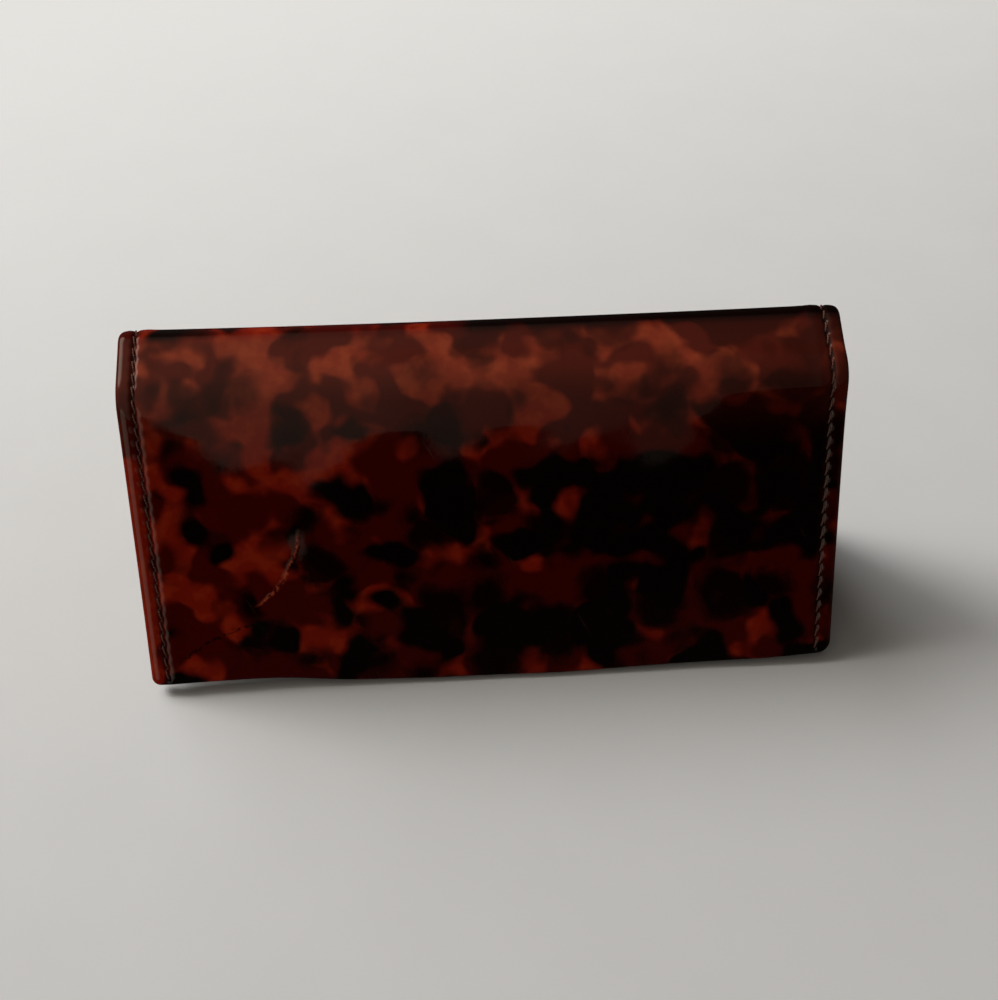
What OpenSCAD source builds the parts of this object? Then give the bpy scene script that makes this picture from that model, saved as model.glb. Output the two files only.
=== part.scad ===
// Wedge-shaped sunglasses case with a magnetic flap.
// +X runs along the case, +Y points to its back and +Z up. The origin lies on the floor,
// under the middle of the case.
// The cover is one strip: down the front wall, under the base, up the back, over the ridge,
// along the narrow top panel, round the crease and down the flap. Its outer face follows the
// corners in PATH, and every layer of the case lies at a depth under that face.

/* [Case] */
// Length of the case, from edge to edge
case_w = 166; // [140:1:190]
// Depth, from the lower edge of the flap to the back
case_d = 49.5; // [45:0.5:60]
// Height of the ridge above the floor
case_h = 74; // [68:1:86]
// Depth of the top panel, from the back to the corner of the crease
top_d = 19; // [16:0.5:22]
// Drop from the top of the ridge to the corner of the crease
crease_drop = 6.5; // [5:0.5:9]
// Height of the flap's lower edge above the floor
flap_lift = 2.2; // [1.8:0.1:5]
// Height of the front wall, measured up its slope
wall_slant = 42; // [34:1:48]

/* [Bends] */
// Outer radius of the soft fold along the ridge
ridge_r = 4.2; // [3.9:0.1:5]
// Outer radius of the soft crease between top panel and flap
crease_r = 11.5; // [8:0.5:13]
// Outer radius of the two long lower corners
base_r = 5; // [4.8:0.1:7]
// Radius of the two lower corners of the flap, seen from the front
corner_r = 3; // [1:0.5:5]

/* [Layers] */
// Thickness of the glossy outer skin
skin_t = 0.8; // [0.6:0.1:1]
// Thickness of the stiff core between skin and lining
core_t = 1.8; // [1.5:0.1:2]
// Thickness of the lining
lining_t = 0.6; // [0.4:0.1:0.8]
// Thickness of the foam that takes the outer part of the flap's core
foam_t = 0.6; // [0.4:0.1:0.7]
// Width of the turned edge outside the stiff boards
rim_w = 6; // [5:0.5:8]
// Air between the closed flap and what lies behind it
flap_gap = 0.8; // [0.6:0.1:1.2]

/* [Gussets] */
// Distance from the edge of the strip in to the outer face of a gusset
gusset_inset = 4.5; // [3.5:0.5:6]
// Thickness of the board inside a gusset
gusset_board_t = 1.2; // [0.8:0.1:1.6]
// Length of slope over which a gusset steps out above the front wall
gusset_step = 4; // [2:0.5:8]
// Distance that a gusset stays below the fold of the ridge
gusset_drop = 2; // [1:0.5:5]

/* [Closure] */
// Diameter of the two magnets and of their keeper plates
magnet_d = 12; // [8:1:16]
// Thickness of a magnet
magnet_t = 0.9; // [0.5:0.1:1]
// Thickness of a keeper plate
keeper_t = 0.8; // [0.4:0.1:1.2]
// Distance between the middles of the two magnets
magnet_pitch = 90; // [50:5:120]
// Height of the keeper plates, measured up the front wall
magnet_rise = 31; // [18:1:33]

/* [Stitching] */
// Distance from the edge of the strip to the stitch line
stitch_edge = 4; // [3:0.5:5]
// Distance from one stitch to the next
stitch_pitch = 3.2; // [2.8:0.1:4]
// Visible length of one stitch
stitch_len = 2.4; // [1.6:0.1:2.6]
// Radius of the thread
thread_r = 0.35; // [0.2:0.05:0.45]
// Width of the groove that the stitches sink into
groove_w = 1; // [0.9:0.1:1.4]
// Bare length of strip at each end of a row of stitches
stitch_margin = 1.2; // [0.8:0.1:3]

/* [Hidden] */
$fn = 64;
wall_t = skin_t + core_t + lining_t;
lining_depth = skin_t + core_t;
edge_x = case_w / 2;
board_x = edge_x - rim_w;
stitch_x = edge_x - stitch_edge;
gusset_x = edge_x - gusset_inset;
cutter = 2;
// Share of a fold's turn by which its grooves run past both ends.
groove_past = 0.1;

// Panels along the strip, in order: front wall, base, back, top panel, flap.
WALL = 0;
BASE = 1;
BACK = 2;
TOP = 3;
FLAP = 4;
// Bends between them carry the number of the panel that follows.
RIDGE = 3;
CREASE = 4;

// The top panel touches the arc of the ridge and runs to the crease; the flap and the front
// wall behind it run down at the same slope.
back_y = case_d / 2;
crease_corner = [back_y - top_d, case_h - crease_drop];
to_ridge = [back_y - ridge_r, case_h - ridge_r] - crease_corner;
top_slope = atan2(to_ridge[1], to_ridge[0]) + asin(ridge_r / norm(to_ridge));
front_slope = atan2(crease_corner[1] - flap_lift, crease_corner[0] + back_y);
HEADING = [180 + front_slope, 360, 90, 180 + top_slope, 180 + front_slope];
TURN = [0, 180 - front_slope, 90, 90 + top_slope, front_slope - top_slope];
BEND_R = [0, base_r, base_r, ridge_r, crease_r];

wall_y = -back_y - flap_lift / tan(front_slope) + (wall_t + flap_gap) / sin(front_slope);
up_slope = [cos(front_slope), sin(front_slope)];
PATH = [
    [wall_y, 0] + wall_slant * up_slope,
    [wall_y, 0],
    [back_y, 0],
    [back_y, case_h - ridge_r + ridge_r * tan(TURN[RIDGE] / 2)],
    crease_corner,
    [-back_y, flap_lift],
];

// Unit vector along panel i, and the one that points out of the case from it.
function along(i) = [cos(HEADING[i]), sin(HEADING[i])];
function outward(i) = [sin(HEADING[i]), -cos(HEADING[i])];
// Length of the flat that a bend takes from each of its two panels.
function tangent(i) = i < 1 || i > 4 ? 0 : BEND_R[i] * tan(TURN[i] / 2);
function panel_len(i) = norm(PATH[i + 1] - PATH[i]);
// A panel is measured from its last corner back: its flat starts at low(i) and ends at high(i).
function low(i) = tangent(i + 1);
function high(i) = panel_len(i) - tangent(i);
// Point of panel i, s from its last corner and deep under the outer face.
function at(i, s, deep) = PATH[i + 1] - s * along(i) - deep * outward(i);
// Angle of the middle of a bend, its centre, and the point on the skin there.
function mid_angle(i) = HEADING[i] - 90 - TURN[i] / 2;
function facing(a) = [cos(a), sin(a)];
function centre(i) = PATH[i] - BEND_R[i] / cos(TURN[i] / 2) * facing(mid_angle(i));
// A fold turns about the middle of the skin and lining that are bonded there.
fold_t = skin_t + lining_t;
function fold_line(i) = centre(i) + (BEND_R[i] - fold_t / 2) * facing(mid_angle(i));

echo(ridge_hinge = fold_line(RIDGE), crease_hinge = fold_line(CREASE));

SKIN = [0.36, 0.13, 0.05];
LINING = [0.16, 0.11, 0.08];
BOARD = [0.66, 0.6, 0.48];
THREAD = [0.55, 0.45, 0.4];

// Frame of panel i: local y runs back along the strip, local z points out of the case.
module on_panel(i) {
    translate([0, PATH[i + 1][0], PATH[i + 1][1]])
        rotate([HEADING[i] - 180, 0, 0])
            children();
}

// Flat layer of panel i between x0 and x1, its outer face deep under the skin's face.
module slab(i, x0, x1, deep, thick, from = 0) {
    on_panel(i)
        translate([x0, low(i) + from, -deep - thick])
            cube([x1 - x0, high(i) - low(i) - from, thick]);
}

// Part of a ring about the origin, from angle a0 to a1.
module sector(r1, r0, a0, a1) {
    reach = 3 * r1;
    intersection() {
        difference() {
            circle(r1);
            circle(r0);
        }
        polygon([
            [0, 0], reach * facing(a0), reach * facing((a0 + a1) / 2), reach * facing(a1),
        ]);
    }
}

// Turns a section drawn in Y and Z into a piece from x0 to x1.
module across(x0, x1) {
    translate([x0, 0, 0])
        rotate([90, 0, 90])
            linear_extrude(x1 - x0)
                children();
}

// Section of a layer round bend i, between two shares of its turn.
module bend_section(i, deep, thick, from = 0, to = 1) {
    start = mid_angle(i) - TURN[i] / 2;
    translate(centre(i))
        sector(BEND_R[i] - deep, BEND_R[i] - deep - thick,
               start + from * TURN[i], start + to * TURN[i]);
}

// Section of a flat layer of panel i; past lengthens it at both ends.
module panel_section(i, deep, thick, past = 0) {
    polygon([
        at(i, low(i) - past, deep), at(i, high(i) + past, deep),
        at(i, high(i) + past, deep + thick), at(i, low(i) - past, deep + thick),
    ]);
}

// Corners of the body's outline at some depth, from the front wall's top round to the back's.
function body_points(deep, wall_end, back_end) = [
    at(WALL, wall_end, deep), at(WALL, low(WALL), deep),
    at(BASE, high(BASE), deep), at(BASE, low(BASE), deep),
    at(BACK, high(BACK), deep), at(BACK, back_end, deep),
];

module body_corners(deep) {
    for (i = [BASE, BACK])
        translate(centre(i))
            circle(base_r - deep);
}

// Section of a layer that runs down the front wall, under the base and up the back.
// drop shortens it at the top of the back, and past lengthens both ends.
module body_section(deep, thick, drop = 0, past = 0) {
    wall_end = panel_len(WALL) + past;
    back_end = low(BACK) + drop - past;
    inner = deep + thick;
    difference() {
        union() {
            polygon(concat(body_points(deep, wall_end, back_end),
                           [at(BACK, back_end, inner), at(WALL, wall_end, inner)]));
            body_corners(deep);
        }
        polygon(body_points(inner, wall_end + cutter, back_end - cutter));
        body_corners(inner);
    }
}

// A length of the skin, from three sections: the skin alone, the whole wall where the
// edges are turned in, and the groove that the stitches sink into.
module covered_strip() {
    color(SKIN)
        difference() {
            union() {
                across(-board_x, board_x)
                    children(0);
                for (side = [-1, 1])
                    across(min(side * board_x, side * edge_x), max(side * board_x, side * edge_x))
                        children(1);
            }
            for (side = [-1, 1])
                across(side * stitch_x - groove_w / 2, side * stitch_x + groove_w / 2)
                    children(2);
        }
}

// Row of half-round stitches along the flat of panel i, their crowns flush with the skin.
module panel_stitches(i, side) {
    usable = high(i) - low(i) - 2 * stitch_margin;
    count = floor((usable - stitch_len) / stitch_pitch) + 1;
    first = low(i) + stitch_margin + (usable - (count - 1) * stitch_pitch) / 2;
    on_panel(i)
        for (k = [0:count - 1])
            translate([side * stitch_x, first + k * stitch_pitch, -thread_r])
                intersection() {
                    rotate([90, 0, 0])
                        cylinder(r = thread_r, h = stitch_len, center = true);
                    translate([-thread_r, -stitch_len, 0])
                        cube([2 * thread_r, 2 * stitch_len, thread_r]);
                }
}

// Stitches that lie curved in a fold, one after the other round its turn.
module bend_stitches(i, side) {
    arc = (BEND_R[i] - thread_r) * TURN[i] * PI / 180;
    count = max(1, round(arc / stitch_pitch));
    share = 1 / count;
    half = stitch_len / stitch_pitch * share / 2;
    across(side * stitch_x - thread_r, side * stitch_x + thread_r)
        for (k = [0:count - 1])
            bend_section(i, 0, thread_r, (k + 0.5) * share - half, (k + 0.5) * share + half);
}

// Outline of a gusset, seen along X: it fills the strip and stops short of flap and top panel.
free_depth = wall_t + flap_gap;
module gusset_outline() {
    above_lip = panel_len(WALL) + wall_t / 2 + flap_gap;
    polygon([
        at(WALL, above_lip, wall_t),
        at(WALL, low(WALL), wall_t),
        at(BASE, high(BASE), wall_t),
        at(BASE, low(BASE), wall_t),
        at(BACK, high(BACK), wall_t),
        at(BACK, low(BACK) + gusset_drop, wall_t),
        at(TOP, high(TOP), free_depth),
        at(TOP, low(TOP), free_depth),
        at(FLAP, high(FLAP), free_depth),
        at(WALL, above_lip + gusset_step, 0),
    ]);
    for (i = [BASE, BACK])
        translate(centre(i))
            circle(base_r - wall_t);
    translate(centre(CREASE))
        circle(crease_r - free_depth);
}

// Flat layer of a gusset that starts deep inside its outer face.
module gusset_layer(side, deep, thick) {
    near = side * (gusset_x - deep);
    far = side * (gusset_x - deep - thick);
    across(min(near, far), max(near, far))
        gusset_outline();
}

// The gusset's skin is turned out at its rim and lies against the inside of the strip.
module gusset_skin(side) {
    x0 = min(side * gusset_x, side * edge_x);
    x1 = max(side * gusset_x, side * edge_x);
    color(SKIN) {
        gusset_layer(side, 0, skin_t);
        across(x0, x1)
            body_section(wall_t, skin_t, gusset_drop);
    }
}

module gusset_board(side) {
    color(BOARD) gusset_layer(side, skin_t, gusset_board_t);
}

module gusset_lining(side) {
    color(LINING) gusset_layer(side, skin_t + gusset_board_t, lining_t);
}

module cover_skin() {
    covered_strip() {
        body_section(0, skin_t);
        body_section(0, wall_t);
        body_section(-cutter, cutter + thread_r, 0, cutter);
    }
}

// Discs let into a board or a foam, measured up the slope of the flap or the front wall.
module discs(i, rise, deep, thick) {
    on_panel(i)
        for (side = [-1, 1])
            translate([side * magnet_pitch / 2, rise, -deep - thick])
                cylinder(d = magnet_d, h = thick);
}

module front_board() {
    color(BOARD)
        difference() {
            slab(WALL, -board_x, board_x, skin_t, core_t);
            discs(WALL, magnet_rise, skin_t - cutter, keeper_t + cutter);
        }
}

module keeper_plates() {
    color("silver") discs(WALL, magnet_rise, skin_t, keeper_t);
}

module base_board() {
    color(BOARD) slab(BASE, -board_x, board_x, skin_t, core_t);
}

module back_board() {
    color(BOARD) slab(BACK, -board_x, board_x, skin_t, core_t);
}

module body_lining() {
    color(LINING)
        across(-board_x, board_x)
            body_section(lining_depth, lining_t);
}

// Half-round binding along the upper edge of the front wall.
module front_lip() {
    color(SKIN)
        on_panel(WALL)
            translate([0, panel_len(WALL), -wall_t / 2])
                intersection() {
                    rotate([0, 90, 0])
                        cylinder(d = wall_t, h = case_w, center = true);
                    translate([-edge_x, 0, -wall_t])
                        cube([case_w, wall_t, 2 * wall_t]);
                }
}

module body_stitches(side) {
    color(THREAD) {
        for (i = [WALL, BASE, BACK])
            panel_stitches(i, side);
        for (i = [BASE, BACK])
            bend_stitches(i, side);
    }
}

module fold_skin(i) {
    covered_strip() {
        bend_section(i, 0, skin_t);
        bend_section(i, 0, wall_t);
        bend_section(i, -cutter, cutter + thread_r, -groove_past, 1 + groove_past);
    }
}

// No board runs through a fold, so its lining lies on the back of its skin.
module fold_lining(i) {
    color(LINING)
        across(-board_x, board_x)
            bend_section(i, skin_t, lining_t);
}

module fold_stitches(i) {
    color(THREAD) {
        bend_stitches(i, -1);
        bend_stitches(i, 1);
    }
}

module top_skin() {
    covered_strip() {
        panel_section(TOP, 0, skin_t);
        panel_section(TOP, 0, wall_t);
        panel_section(TOP, -cutter, cutter + thread_r, cutter);
    }
}

module top_board() {
    color(BOARD) slab(TOP, -board_x, board_x, skin_t, core_t);
}

module top_lining() {
    color(LINING) slab(TOP, -board_x, board_x, lining_depth, lining_t);
}

module top_stitches() {
    color(THREAD) {
        panel_stitches(TOP, -1);
        panel_stitches(TOP, 1);
    }
}

// Outline of the flap as it lies flat, its two lower corners rounded.
module flap_outline() {
    translate([-edge_x, corner_r])
        square([case_w, high(FLAP) - corner_r]);
    translate([-edge_x + corner_r, 0])
        square([case_w - 2 * corner_r, high(FLAP)]);
    for (side = [-1, 1])
        translate([side * (edge_x - corner_r), corner_r])
            circle(corner_r);
}

// The flap's skin is turned in along both sides and its lower edge.
module flap_skin() {
    color(SKIN)
        difference() {
            on_panel(FLAP)
                translate([0, 0, -wall_t])
                    linear_extrude(wall_t)
                        flap_outline();
            on_panel(FLAP)
                translate([-board_x, rim_w, -wall_t - cutter])
                    cube([2 * board_x, panel_len(FLAP), wall_t - skin_t + cutter]);
            for (side = [-1, 1])
                on_panel(FLAP)
                    translate([side * stitch_x - groove_w / 2, -cutter, -thread_r])
                        cube([groove_w, panel_len(FLAP), cutter]);
        }
}

module flap_foam() {
    color("dimgray") slab(FLAP, -board_x, board_x, skin_t, foam_t, rim_w);
}

flap_magnet_rise = magnet_rise + (PATH[1] - PATH[5]) * up_slope;
module flap_board() {
    color(BOARD)
        difference() {
            slab(FLAP, -board_x, board_x, skin_t + foam_t, core_t - foam_t, rim_w);
            discs(FLAP, flap_magnet_rise, lining_depth - magnet_t, magnet_t + cutter);
        }
}

module flap_magnets() {
    color("gray") discs(FLAP, flap_magnet_rise, lining_depth - magnet_t, magnet_t);
}

module flap_lining() {
    color(LINING) slab(FLAP, -board_x, board_x, lining_depth, lining_t, rim_w);
}

module flap_stitches(side) {
    color(THREAD) panel_stitches(FLAP, side);
}

cover_skin();
front_board();
base_board();
back_board();
body_lining();
front_lip();
keeper_plates();
gusset_skin(-1);  // gusset_skin_left
gusset_skin(1);  // gusset_skin_right
gusset_board(-1);  // gusset_board_left
gusset_board(1);  // gusset_board_right
gusset_lining(-1);  // gusset_lining_left
gusset_lining(1);  // gusset_lining_right
body_stitches(-1);  // body_stitches_left
body_stitches(1);  // body_stitches_right
fold_skin(RIDGE);  // ridge_fold_skin
fold_lining(RIDGE);  // ridge_fold_lining
fold_stitches(RIDGE);  // ridge_fold_stitches
top_skin();
top_board();
top_lining();
top_stitches();
fold_skin(CREASE);  // crease_fold_skin
fold_lining(CREASE);  // crease_fold_lining
fold_stitches(CREASE);  // crease_fold_stitches
flap_skin();
flap_foam();
flap_board();
flap_lining();
flap_magnets();
flap_stitches(-1);  // flap_stitches_left
flap_stitches(1);  // flap_stitches_right
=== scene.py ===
# %% [markdown]
# # A flap case for sunglasses
# The real object is a hard case that is made like a small handbag. Stiff boards give it its
# wedge shape, one long strip of glossy tortoiseshell skin wraps round them, and a dark lining
# covers the inside. The flap swings on two soft folds of that same strip.
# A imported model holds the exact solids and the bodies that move. This file dresses it: it
# reads the model as a fixed frame and builds the soft surfaces around it, all in metres.

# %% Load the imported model
import math

import bpy
import numpy as np
from mathutils import Matrix, Vector


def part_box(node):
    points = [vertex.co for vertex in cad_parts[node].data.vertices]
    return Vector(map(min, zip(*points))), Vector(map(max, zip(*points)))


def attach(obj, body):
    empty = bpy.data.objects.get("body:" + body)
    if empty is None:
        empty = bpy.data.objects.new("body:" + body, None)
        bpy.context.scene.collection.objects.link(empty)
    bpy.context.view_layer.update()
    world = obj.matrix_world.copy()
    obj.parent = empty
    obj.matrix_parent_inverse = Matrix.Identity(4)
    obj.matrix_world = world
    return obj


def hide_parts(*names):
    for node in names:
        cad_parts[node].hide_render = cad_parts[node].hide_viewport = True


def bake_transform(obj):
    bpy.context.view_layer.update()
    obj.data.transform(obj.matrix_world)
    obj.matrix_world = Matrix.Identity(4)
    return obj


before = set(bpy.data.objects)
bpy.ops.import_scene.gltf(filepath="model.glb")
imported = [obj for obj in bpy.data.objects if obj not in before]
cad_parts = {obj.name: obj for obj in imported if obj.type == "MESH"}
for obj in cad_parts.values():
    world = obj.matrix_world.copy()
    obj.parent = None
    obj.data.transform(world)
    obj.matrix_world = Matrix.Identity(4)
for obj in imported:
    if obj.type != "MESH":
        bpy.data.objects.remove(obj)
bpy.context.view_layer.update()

# %% [markdown]
# The camera comes first, because every later choice is judged through it. It looks down at
# 45 degrees from a little to the left, from about a third of a metre. A lens of about 45 mm
# on a 36 mm sensor gives the mild perspective that makes the lower edge look shorter.

# %% Camera
CAMERA_PLACE = (-0.01023, -0.21216, 0.24899)
LOOK_DOWN, LOOK_ASIDE, TILT = 45.029, -3.412, -0.087


def show(name, data):
    """Puts data into the scene as an object of that name."""
    thing = bpy.data.objects.new(name, data)
    bpy.context.scene.collection.objects.link(thing)
    return thing


lens = bpy.data.cameras.new("camera")
lens.lens = 45.27
lens.sensor_width = 36
lens.clip_start = 0.01
camera = show("camera", lens)
camera.matrix_world = Matrix.Translation(CAMERA_PLACE)
for angle, axis in ((LOOK_ASIDE, "Z"), (90 - LOOK_DOWN, "X"), (TILT, "Z")):
    camera.matrix_world @= Matrix.Rotation(math.radians(angle), 4, axis)
bpy.context.scene.camera = camera
print("camera at", [round(v, 4) for v in camera.matrix_world.translation])

# %% [markdown]
# Shaders are built from nodes, and the same few moves come back in each of them. These
# helpers add a node, set its sockets and hand back the output, so that a finish further down
# reads like a short recipe.

# %% Node helpers
COLOURS = ("Color", "Amber", "Brown", "Core")


def is_socket(value):
    return isinstance(value, bpy.types.NodeSocket)


def fill(node, inputs):
    """Links the inputs that are sockets, and sets those that are plain values."""
    for key, value in inputs.items():
        if is_socket(value):
            node.id_data.links.new(value, node.inputs[key])
        else:
            node.inputs[key].default_value = value
    return node


def add(kind, inputs, tree=None, **settings):
    """A new node in the tree of the sockets that it is given."""
    tree = tree or next(v.id_data for v in inputs.values() if is_socket(v))
    node = tree.nodes.new(kind)
    for key, value in settings.items():
        setattr(node, key, value)
    return fill(node, inputs)


def calc(operation, *values):
    return add("ShaderNodeMath", dict(enumerate(values)), operation=operation).outputs[0]


def times(a, b):
    return calc("MULTIPLY", a, b)


def vector(operation, *values, output="Vector"):
    node = add("ShaderNodeVectorMath", dict(enumerate(values)), operation=operation)
    return node.outputs[output]


def part(value, index):
    """One axis of a vector or channel of a colour."""
    return add("ShaderNodeSeparateXYZ", {0: value}).outputs[index]


def mix_colours(share, a, b):
    a, b = (v if is_socket(v) else (*v, 1) for v in (a, b))
    return add("ShaderNodeMix", {0: share, 6: a, 7: b}, data_type="RGBA").outputs[2]


def smooth_step(value, low, high):
    """0 at low, 1 at high, with a soft start and end."""
    node = add("ShaderNodeMapRange", {"Value": value, "From Min": low, "From Max": high},
               interpolation_type="SMOOTHSTEP")
    return node.outputs["Result"]


def noise(where, size, detail=2.0, roughness=0.5, output=0):
    """Noise whose lumps are about size metres wide."""
    node = add("ShaderNodeTexNoise", {"Vector": where, "Scale": 1 / size, "Detail": detail,
                                      "Roughness": roughness})
    return node.outputs[output]


def blotches(where, size, low, high, *look):
    return smooth_step(noise(where, size, *look), low, high)


def coordinates(tree, name):
    """Blender's own coordinates of that name, or else the UV map of that name."""
    if name in ("Object", "Generated"):
        return add("ShaderNodeTexCoord", {}, tree).outputs[name]
    return add("ShaderNodeUVMap", {}, tree, uv_map=name).outputs[0]


def new_group(name, outputs, recipe, **inputs):
    """A shader group on a map; recipe takes its inputs and gives a value for each output."""
    tree = bpy.data.node_groups.new(name, "ShaderNodeTree")
    kinds = {float: "NodeSocketFloat", tuple: "NodeSocketVector"}
    for label, value in {"Vector": (0, 0, 0), **inputs}.items():
        kind = "NodeSocketColor" if label in COLOURS else kinds[type(value)]
        socket = tree.interface.new_socket(name=label, in_out="INPUT", socket_type=kind)
        socket.default_value = value
    for label in outputs:
        kind = "NodeSocketColor" if label in COLOURS else "NodeSocketFloat"
        tree.interface.new_socket(name=label, in_out="OUTPUT", socket_type=kind)
    given = tree.nodes.new("NodeGroupInput").outputs
    result = tree.nodes.new("NodeGroupOutput").inputs
    for label, value in zip(outputs, recipe(*(given[label] for label in ("Vector", *inputs)))):
        tree.links.new(value, result[label])
    return tree


def place_group(group, where, **inputs):
    return add("ShaderNodeGroup", {"Vector": where, **inputs}, node_tree=group).outputs


def new_material(name, recipe, settings, on=("strip",), relief=1e-6):
    """A material; recipe turns coordinates into shader inputs and a Height for the bump.

    Relief is what one unit of Height stands for, in metres."""
    material = bpy.data.materials.new(name)
    material.use_nodes = True
    tree = material.node_tree
    inputs = {**recipe(*(coordinates(tree, source) for source in on)), **settings}
    if "Height" in inputs:
        height = inputs.pop("Height")
        bump = add("ShaderNodeBump", {"Height": height, "Distance": relief, "Strength": 1.0})
        inputs["Normal"] = bump.outputs[0]
    fill(tree.nodes["Principled BSDF"], inputs)
    return material


print("node helpers ready")

# %% [markdown]
# The case stands on a plain pale floor. The light comes from the left and from behind, low
# enough to throw a soft shadow to the right. Its fading over the floor with the distance from
# the window is painted light in the floor's colour. Two even lamps, each as wide as a window,
# give the shadow its soft edge.
# The rest is a dim room: a pale ceiling and walls above eye level, which are darker behind
# and to the right, a dark band below them where people and furniture stand, and a bright
# patch low on the left that catches the rounded edge. The glossy skin mirrors that room:
# the top panel gets a grey veil from the wall, and the flap stays deep and clear.

# %% Floor, lamps and room
WINDOW_FROM = tuple(Vector((-0.70, 0.30, 0.67)).normalized())
SIDE_FROM = tuple(Vector((-0.62, -0.77, 0.07)).normalized())
FLOOR_HALF = 3.0
FLOOR_LEVEL = -0.0002


def floor_colour_with_painted_light(where, lift, low, high):
    """The floor's colour with painted light, which brightens towards the window at the back on the
    left.
    """
    uphill = vector("DOT_PRODUCT", where, (-0.7, 1.0, 0.0), output="Value")
    share = smooth_step(calc("ADD", uphill, lift), low, high)
    return mix_colours(share, (0.46, 0.455, 0.45), (0.86, 0.86, 0.85))


def floor_recipe(where):
    return {"Base Color": floor_colour_with_painted_light(where, times(noise(where, 0.03, 4.0), 0.06), -0.38, 0.58)}


def plain_floor():
    mesh = bpy.data.meshes.new("floor")
    corners = [(x * FLOOR_HALF, y * FLOOR_HALF, 0) for x, y in ((-1, -1), (1, -1), (1, 1), (-1, 1))]
    mesh.from_pydata(corners, [], [(0, 1, 2, 3)])
    matt = {"Roughness": 1.0, "Specular IOR Level": 0.0}
    mesh.materials.append(new_material("pale_floor", floor_recipe, matt, ("Object",)))
    floor = show("floor", mesh)
    floor.location.z = FLOOR_LEVEL
    floor.visible_glossy = False


def low_sun(name, towards, light, width):
    """An even lamp as wide as width degrees; light is what a white sheet facing it shows."""
    lamp = bpy.data.lights.new(name, "SUN")
    lamp.energy = light * math.pi
    lamp.angle = math.radians(width)
    holder = show(name, lamp)
    holder.location = towards
    holder.rotation_mode = "QUATERNION"
    holder.rotation_quaternion = (-holder.location).to_track_quat("-Z", "Y")
    holder.visible_glossy = False
    return holder


def dim_room(overhead=0.31, wall=0.265, band=0.004, below=0.010, window=2.5, side=0.65):
    """World light by direction; the camera itself sees the floor's colour there."""
    world = bpy.data.worlds.new("room")
    bpy.context.scene.world = world
    world.use_nodes = True
    tree = world.node_tree
    tree.nodes.clear()
    direction = coordinates(tree, "Generated")

    def share(axis, low, high):
        return smooth_step(part(direction, axis), low, high)

    def patch(towards, low, high, light):
        facing = vector("DOT_PRODUCT", direction, towards, output="Value")
        return times(smooth_step(facing, low, high), light)

    upper = calc("ADD", times(share("Z", 0.128, 0.138), wall),
                 times(share("Z", 0.45, 0.98), overhead - wall))
    leftwards = calc("MULTIPLY_ADD", share("X", 0.42, -0.30), 0.78, 0.22)
    behind = calc("MULTIPLY_ADD", share("Y", 0.10, 0.45), -0.75, 1.0)
    level = band
    for light in (times(upper, times(leftwards, behind)),
                  times(share("Z", 0.03, -0.05), below),
                  patch(WINDOW_FROM, 0.93, 0.985, window),
                  patch(SIDE_FROM, 0.950, 0.988, side)):
        level = calc("ADD", light, level)
    room = add("ShaderNodeBackground", {"Color": (1, 0.93, 0.83, 1), "Strength": level})
    # The camera sees the floor's colour with the same painted window light.
    far_floor = floor_colour_with_painted_light(direction, 0.0, -0.30, 0.30)
    seen = add("ShaderNodeBackground", {"Color": far_floor, "Strength": 1.0})
    is_camera = add("ShaderNodeLightPath", {}, tree).outputs["Is Camera Ray"]
    both = add("ShaderNodeMixShader", {0: is_camera, 1: room.outputs[0], 2: seen.outputs[0]})
    add("ShaderNodeOutputWorld", {"Surface": both.outputs[0]})


bpy.context.scene.view_settings.view_transform = "Standard"
plain_floor()
key_lamp = low_sun("key_lamp", (-0.67, 0.39, 0.63), 0.54, 26)
low_sun("back_lamp", (-0.48, 0.56, 0.67), 0.44, 42)
dim_room()
print("key lamp strength", round(key_lamp.data.energy, 2))

# %% [markdown]
# The cover of the real case is one strip. It starts at the top of the front wall, runs down
# it, under the base, up the back, over the ridge, along the narrow top panel and down the
# flap. So every soft piece is laid out on the same flat map: x across the case, s along the
# strip, and a depth under its outer face. The corners below repeat those of the solids.

# %% The strip's path, seen from the side
MM = 0.001
CASE_W, CASE_D, CASE_H = 166 * MM, 49.5 * MM, 74 * MM
TOP_D, CREASE_DROP, FLAP_LIFT, WALL_SLANT = 19 * MM, 6.5 * MM, 2.2 * MM, 42 * MM
RIDGE_R, CREASE_R, BASE_R, CORNER_R = 4.2 * MM, 11.5 * MM, 5 * MM, 3 * MM
WALL_T, RIM_W, FLAP_GAP, SKIN_T = 3.2 * MM, 6 * MM, 0.8 * MM, 0.8 * MM
HALF_W = CASE_W / 2


def panel_corners():
    """Corners of the path in Y and Z, and the heading of each of the five panels."""
    back_y = CASE_D / 2
    crease = np.array([back_y - TOP_D, CASE_H - CREASE_DROP])
    ridge = np.array([back_y - RIDGE_R, CASE_H - RIDGE_R]) - crease
    top_slope = math.atan2(ridge[1], ridge[0]) + math.asin(RIDGE_R / np.linalg.norm(ridge))
    slope = math.atan2(crease[1] - FLAP_LIFT, crease[0] + back_y)
    wall_y = -back_y - FLAP_LIFT / math.tan(slope) + (WALL_T + FLAP_GAP) / math.sin(slope)
    ridge_turn = math.pi / 2 + top_slope
    corners = np.array([
        [wall_y + WALL_SLANT * math.cos(slope), WALL_SLANT * math.sin(slope)],
        [wall_y, 0], [back_y, 0],
        [back_y, CASE_H - RIDGE_R + RIDGE_R * math.tan(ridge_turn / 2)],
        crease, [-back_y, FLAP_LIFT],
    ])
    headings = np.array([math.pi + slope, 2 * math.pi, 2.5 * math.pi,
                         3 * math.pi + top_slope, 3 * math.pi + slope])
    return corners, headings


def stack(*columns):
    return np.stack(np.broadcast_arrays(*columns), axis=-1)


def outward(heading):
    return stack(np.sin(heading), -np.cos(heading))


def forward(heading):
    return stack(np.cos(heading), np.sin(heading))


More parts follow.
